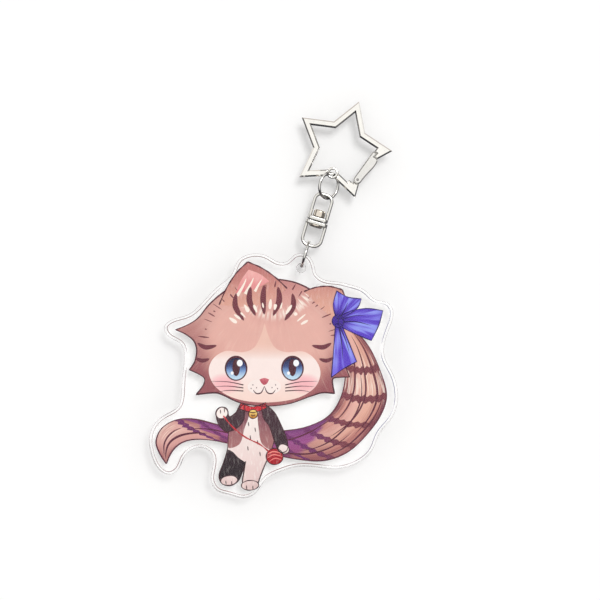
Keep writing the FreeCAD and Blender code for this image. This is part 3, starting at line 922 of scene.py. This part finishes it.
# ---- metal and acrylic
def plated_metal(name, colour, roughness, scratch, shade_reach=0.9):
    """Bright plating: slightly uneven gloss, hair scratches, a soft waviness, and painted shade that darkens
    it in gaps and crevices.
    """
    t = new_tree(name)
    place = t.place()
    cloud = t.noise(place, 420.0, 3.0)
    slant = {"Vector": place, "Rotation": (0.5, 0.3, 0.9), "Scale": (6000.0, 700.0, 6000.0)}
    hair = t.noise(t.out("Mapping", slant), 1.0, 2.0)
    rough = t.plus(roughness, t.times(t.step(cloud, 0.4, 0.75), 0.06))
    rough = t.plus(rough, t.times(t.step(hair, 0.55, 0.8), scratch))
    dull = tuple(0.92 * c for c in colour)
    # painted shade: the plating turns dark where ambient occlusion finds a gap or crevice
    dark = tuple(0.16 * c for c in colour)
    tone = t.mix(t.step(cloud, 0.35, 0.75), (*colour, 1.0), (*dull, 1.0))
    gap_shade = t.add("AmbientOcclusion", {"Distance": shade_reach * MM}, samples=8).outputs["AO"]
    tone = t.mix(t.step(gap_shade, 0.35, 0.85), (*dark, 1.0), tone)
    wave = t.add("Bump", {"Strength": 0.15, "Distance": 0.00004, "Height": t.noise(place, 700.0, 2.0)})
    inputs = {"Base Color": tone, "Metallic": 1.0, "Roughness": rough, "Normal": wave.outputs[0]}
    return t.finish(t.out("BsdfPrincipled", inputs))


def clear_acrylic(name, bonded_y, edge_reflection_colour):
    """Clear sheet. Its face towards the other sheet is bonded, so light goes straight through it.
    Light for shadows passes as well, dimmed by the sheet and dimmed more by its edge.
    Its edge walls carry a painted reflection: a pinkish grey tint and a dark brown-grey diffuse line."""
    t = new_tree(name)
    turned = t.size_of(t.split(t.own_normal())[1])
    near_bond = t.calc("LESS_THAN", t.size_of(t.minus(t.split(t.place())[1], bonded_y)), HAIR * MM)
    bonded = t.times(near_bond, t.calc("GREATER_THAN", turned, 0.95))
    wall = t.rest_of(t.step(turned, 0.4, 0.97))
    smear = t.noise(t.place(), 180.0, 3.0)
    rough = t.plus(t.times(t.step(smear, 0.5, 0.8), 0.01), t.times(wall, 0.12))
    # painted reflection: the walls tint what passes through them pinkish grey, as the print seen in the edge
    edge_reflection_tint = t.mix(wall, WHITE, edge_reflection_colour)
    bend = t.out("BsdfRefraction", {"Color": edge_reflection_tint, "Roughness": rough, "IOR": ACRYLIC_IOR})
    shine = t.out("BsdfGlossy", {"Color": (0.6, 0.6, 0.6, 1.0), "Roughness": rough})
    glass = t.blend(t.out("Fresnel", {"IOR": ACRYLIC_IOR}), bend, shine)
    # painted shade and reflection: a dark brown-grey diffuse line on the edge walls, strongest on the rounded
    # part
    grain = t.noise(t.place(), 2600.0, 2.0)
    painted_edge_line = t.diffuse(t.mix(grain, (0.30, 0.24, 0.25, 1.0), (0.55, 0.48, 0.48, 1.0)))
    rounded = t.times(wall, t.step(turned, 0.1, 0.4))
    milky = t.plus(t.times(wall, 0.3), t.times(rounded, 0.5))
    glass = t.blend(milky, glass, painted_edge_line)
    dimmed = t.mix(wall, WHITE, (0.14, 0.12, 0.13, 1.0))
    dimmed = t.mix(bonded, dimmed, WHITE)
    through = t.out("BsdfTransparent", {"Color": dimmed})
    rays = t.add("LightPath").outputs
    soft = t.calc("MAXIMUM", rays["Is Shadow Ray"], rays["Is Diffuse Ray"])
    return t.finish(t.blend(t.calc("MAXIMUM", bonded, soft), glass, through))


def plate_outline():
    """The charm's outer edge from the film's own mesh, counter-clockwise, in mm from the hole."""
    bm = bmesh.new()
    bm.from_mesh(frame["nodes"]["adhesive_film"].data)
    front_y = min(vert.co.y for vert in bm.verts)
    rim = {}
    for edge in bm.edges:
        on_front = all(vert.co.y < front_y + 0.001 * MM for vert in edge.verts)
        flat_faces = sum(abs(face.normal.y) > 0.9 for face in edge.link_faces)
        if on_front and flat_faces == 1:
            for vert in edge.verts:
                rim.setdefault(vert, []).append(edge.other_vert(vert))
    leftmost = min(rim, key=lambda vert: vert.co.x)
    path = [leftmost, rim[leftmost][0]]
    while path[-1] is not leftmost and len(path) <= len(rim):
        onward = [vert for vert in rim[path[-1]] if vert is not path[-2]]
        if not onward:
            break
        path.append(onward[0])
    loop = [((vert.co - HOLE).dot(RIGHT) / MM, (vert.co - HOLE).dot(UP) / MM) for vert in path]
    bm.free()
    if not is_counter_clockwise(loop):
        loop = loop[::-1]
    return resample(loop, RIM_POINTS)[:-1]


def edge_glint():
    """A painted reflection line for the plate's far edge seen through it: brown low down and bluish at the
    right.
    """
    t = new_tree("edge_glint")
    x, y = t.art()
    # painted reflection colours of the far edge: brown low down, bluish at the right
    tone = t.mix(t.step(x, 8.0, 26.0), rgb(176, 150, 148), rgb(172, 172, 196))
    tone = t.mix(t.step(y, -54.0, -70.0), tone, rgb(166, 122, 122))
    patches = t.noise(t.place(), 90.0, 2.0)
    amount = t.times(t.step(patches, 0.30, 0.60), 0.75)
    amount = t.times(amount, t.rest_of(t.add("LightPath").outputs["Is Shadow Ray"]))
    material = t.finish(t.blend(amount, t.out("BsdfTransparent"), t.diffuse(tone)))
    rim = plate_outline()

    def fill(bm):
        outer = sides(rim, [2 * GLINT_INSET] * len(rim), True)[0]
        inner = sides(rim, [2 * (GLINT_INSET + GLINT_WIDTH)] * len(rim), True)[0]
        add_band(bm, outer, inner, (film_high.y - GLINT_FRONT * MM, film_high.y - GLINT_BACK * MM), True)
    build("edge_glint", fill, material)


def adhesive_material():
    """Clear film: seen only as a faint milky line at the charm's edge."""
    t = new_tree("adhesive")
    edge = t.rest_of(t.step(t.size_of(t.split(t.own_normal())[1]), 0.2, 0.8))
    cloud = t.noise(t.place(), 900.0, 2.0)
    amount = t.times(edge, t.plus(0.25, t.times(cloud, 0.3)))
    outside = t.calc("GREATER_THAN", t.split(t.place())[1], white_high.y + HAIR * MM)
    amount = t.times(amount, outside)
    amount = t.times(amount, t.rest_of(t.add("LightPath").outputs["Is Shadow Ray"]))
    return t.finish(t.blend(amount, t.out("BsdfTransparent"), t.diffuse((0.85, 0.84, 0.82, 1.0))))


def dress(nodes, material):
    """Give CAD nodes their material."""
    for node in nodes:
        slots = frame["nodes"][node].data.materials
        slots.clear()
        slots.append(material)


METALS = (
    (["clasp_frame"], "nickel", (0.98, 0.965, 0.93), 0.06, 0.06, 1.3),
    (["clasp_gate"], "gate_nickel", (0.84, 0.83, 0.81), 0.08, 0.10, 1.6),
    (["upper_jump_ring", "lower_jump_ring"], "ring_nickel", (0.80, 0.79, 0.77), 0.06, 0.08),
    (["swivel_upper_loop", "swivel_lower_loop"], "swivel_nickel", (0.82, 0.81, 0.78), 0.06, 0.08),
    (["swivel_rivet"], "rivet_nickel", (0.80, 0.73, 0.64), 0.12, 0.10),
    # the hinge pin's near-black colour is painted shade for the dark dot at the hinge
    (["gate_hinge_pin"], "pin_steel", (0.22, 0.21, 0.21), 0.25, 0.15),
    (["gate_plunger", "gate_spring"], "steel", (0.60, 0.60, 0.60), 0.25, 0.15),
)


def dress_frame():
    """The materials of all CAD nodes that stay visible, and of the parts inside the gate."""
    for nodes, *metal in METALS:
        dress(nodes, plated_metal(*metal))
    # the last colour given for each sheet is the painted reflection tint of its edge
    dress(["front_sheet"], clear_acrylic("acrylic_front", sheet_high.y, (0.90, 0.88, 0.89, 1.0)))
    dress(["back_sheet"], clear_acrylic("acrylic_back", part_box("back_sheet")[0].y, (0.88, 0.86, 0.87, 1.0)))
    dress(["adhesive_film"], adhesive_material())


# ---- stage, light and camera
def surface_material():
    """Pale, slightly clouded and self-lit, with painted light added where the acrylic shows it. Metal mirrors
    it with a painted
    reflection: dark low down, bright above that and tan at the top. A camera behind it or beside it doesn't
    see it."""
    t = new_tree("surface")
    cloud = t.noise(t.place(), 40.0, 3.0)
    diffuse = t.diffuse(t.mix(cloud, (0.86, 0.855, 0.85, 1.0), (0.885, 0.88, 0.875, 1.0)))
    rays = t.add("LightPath").outputs
    # painted light: the surface glows brighter where it is seen through the acrylic
    strength = t.plus(SURFACE_GLOW, t.times(rays["Is Transmission Ray"], SHEET_GLOW))
    glow = t.out("Emission", {"Color": (1.0, 0.995, 0.985, 1.0), "Strength": strength})
    lit = t.out("AddShader", {0: diffuse, 1: glow})
    rise = t.dot(t.add("NewGeometry").outputs["Incoming"], -UP)
    # painted reflection: what metal sees of the surface, dark low down, bright above that and tan at the top
    painted_reflection_tones = [(0.0, (0.10, 0.10, 0.11, 1.0)), (0.45, (0.96, 0.95, 0.93, 1.0)), (1.0, (0.62, 0.57, 0.54, 1.0))]
    mirrored = t.out("Emission", {"Color": t.ramp(t.step(rise, -0.1, 0.9), painted_reflection_tones)})
    in_metal = t.calc("SUBTRACT", rays["Is Glossy Ray"], rays["Is Transmission Ray"], clamp=True)
    lit = t.blend(in_metal, lit, mirrored)
    eye = t.out("VectorTransform", {0: (0.0, 0.0, 0.0)}, vector_type="POINT", convert_from="CAMERA",
                convert_to="WORLD")
    length = t.add("VectorMath", {0: eye}, operation="LENGTH").outputs[1]
    shown = t.calc("GREATER_THAN", t.over(t.times(t.split(eye)[1], -1.0), length), BEHIND)
    return t.finish(t.blend(shown, t.out("BsdfTransparent"), lit))


def surface():
    """The pale surface that the keychain lies against. It moves back when the charm turns."""
    rest_y = ring_high.y + SURFACE_GAP * MM
    corners = [(x * SURFACE_SIZE, 0, z * SURFACE_SIZE) for x, z in ((-1, -1), (1, -1), (1, 1), (-1, 1))]
    mesh = bpy.data.meshes.new("surface")
    mesh.from_pydata(corners, [], [(0, 1, 2, 3)])
    mesh.materials.append(surface_material())
    plane = bpy.data.objects.new("surface", mesh)
    bpy.context.scene.collection.objects.link(plane)
    plane.location.y = rest_y
    anchor = bpy.data.objects.new("surface_anchor", None)
    bpy.context.scene.collection.objects.link(anchor)
    drive = plane.driver_add("location", 1).driver
    drive.type = "SCRIPTED"
    turn = drive.variables.new()
    turn.name = "turn"
    turn.type = "ROTATION_DIFF"
    turn.targets[0].id = frame["bodies"]["charm"]
    turn.targets[1].id = anchor
    drive.expression = f"{rest_y} + {SURFACE_RETREAT} * min(turn, 1)"


def studio():
    """A white studio. Metal mirrors it as bright in front and above, and dark low down and at the sides."""
    world = bpy.data.worlds.new("studio")
    bpy.context.scene.world = world
    t = Tree(world)
    ray = t.add("TexCoord").outputs["Generated"]
    parts = t.split(ray)
    rise = t.dot(ray, UP)
    limit = t.minus(0.52, t.times(rise, 0.34))
    open_sky = t.step(t.minus(t.size_of(parts[1]), limit), -0.05, 0.12)
    sideways = t.step(t.size_of(parts[0]), 0.75, 0.98)
    dim = t.mix(sideways, (0.035, 0.035, 0.04, 1.0), (0.22, 0.21, 0.21, 1.0))
    shine = t.mix(open_sky, dim, (1.0, 0.99, 0.965, 1.0))
    rays = t.add("LightPath").outputs
    glow = t.mix(rays["Is Glossy Ray"], (AMBIENT, AMBIENT, AMBIENT, 1.0), shine)
    direct = t.calc("MAXIMUM", rays["Is Camera Ray"], rays["Is Transmission Ray"])
    seen = t.mix(direct, glow, (0.985, 0.98, 0.97, 1.0))
    output = t.add("OutputWorld")
    t.tree.links.new(t.out("Background", {0: seen, 1: 1.0}), output.inputs[0])


def soft_light(name, towards, strength):
    """A large, even light that comes from the direction towards."""
    data = bpy.data.lights.new(name, "SUN")
    data.angle = LIGHT_ANGLE
    data.energy = strength
    lamp = bpy.data.objects.new(name, data)
    bpy.context.scene.collection.objects.link(lamp)
    lamp.rotation_euler = (-towards).to_track_quat("-Z", "Y").to_euler()


def camera():
    """The camera looks straight at the charm's face, rolled so that the print stands upright."""
    data = bpy.data.cameras.new("camera")
    data.lens = SENSOR * VIEW_DISTANCE / VIEW_WIDTH
    data.sensor_width = SENSOR
    data.clip_start = 0.01
    eye = bpy.data.objects.new("camera", data)
    bpy.context.scene.collection.objects.link(eye)
    aim = HOLE + UP * AIM_ABOVE * MM + RIGHT * AIM_RIGHT * MM
    turn = Matrix((RIGHT, UP, FRONT)).transposed().to_4x4()
    eye.matrix_world = Matrix.Translation(aim + FRONT * VIEW_DISTANCE * MM) @ turn
    bpy.context.scene.camera = eye


print_pieces()
edge_glint()
dress_frame()
surface()
studio()
soft_light("key", RIGHT * 0.30 + UP * 0.40 + FRONT, KEY_LIGHT)
soft_light("rear", Vector((-0.4, 1.0, 0.5)), REAR_LIGHT)
camera()
bpy.context.scene.view_settings.view_transform = "Standard"
bpy.context.scene.cycles.transparent_max_bounces = 32
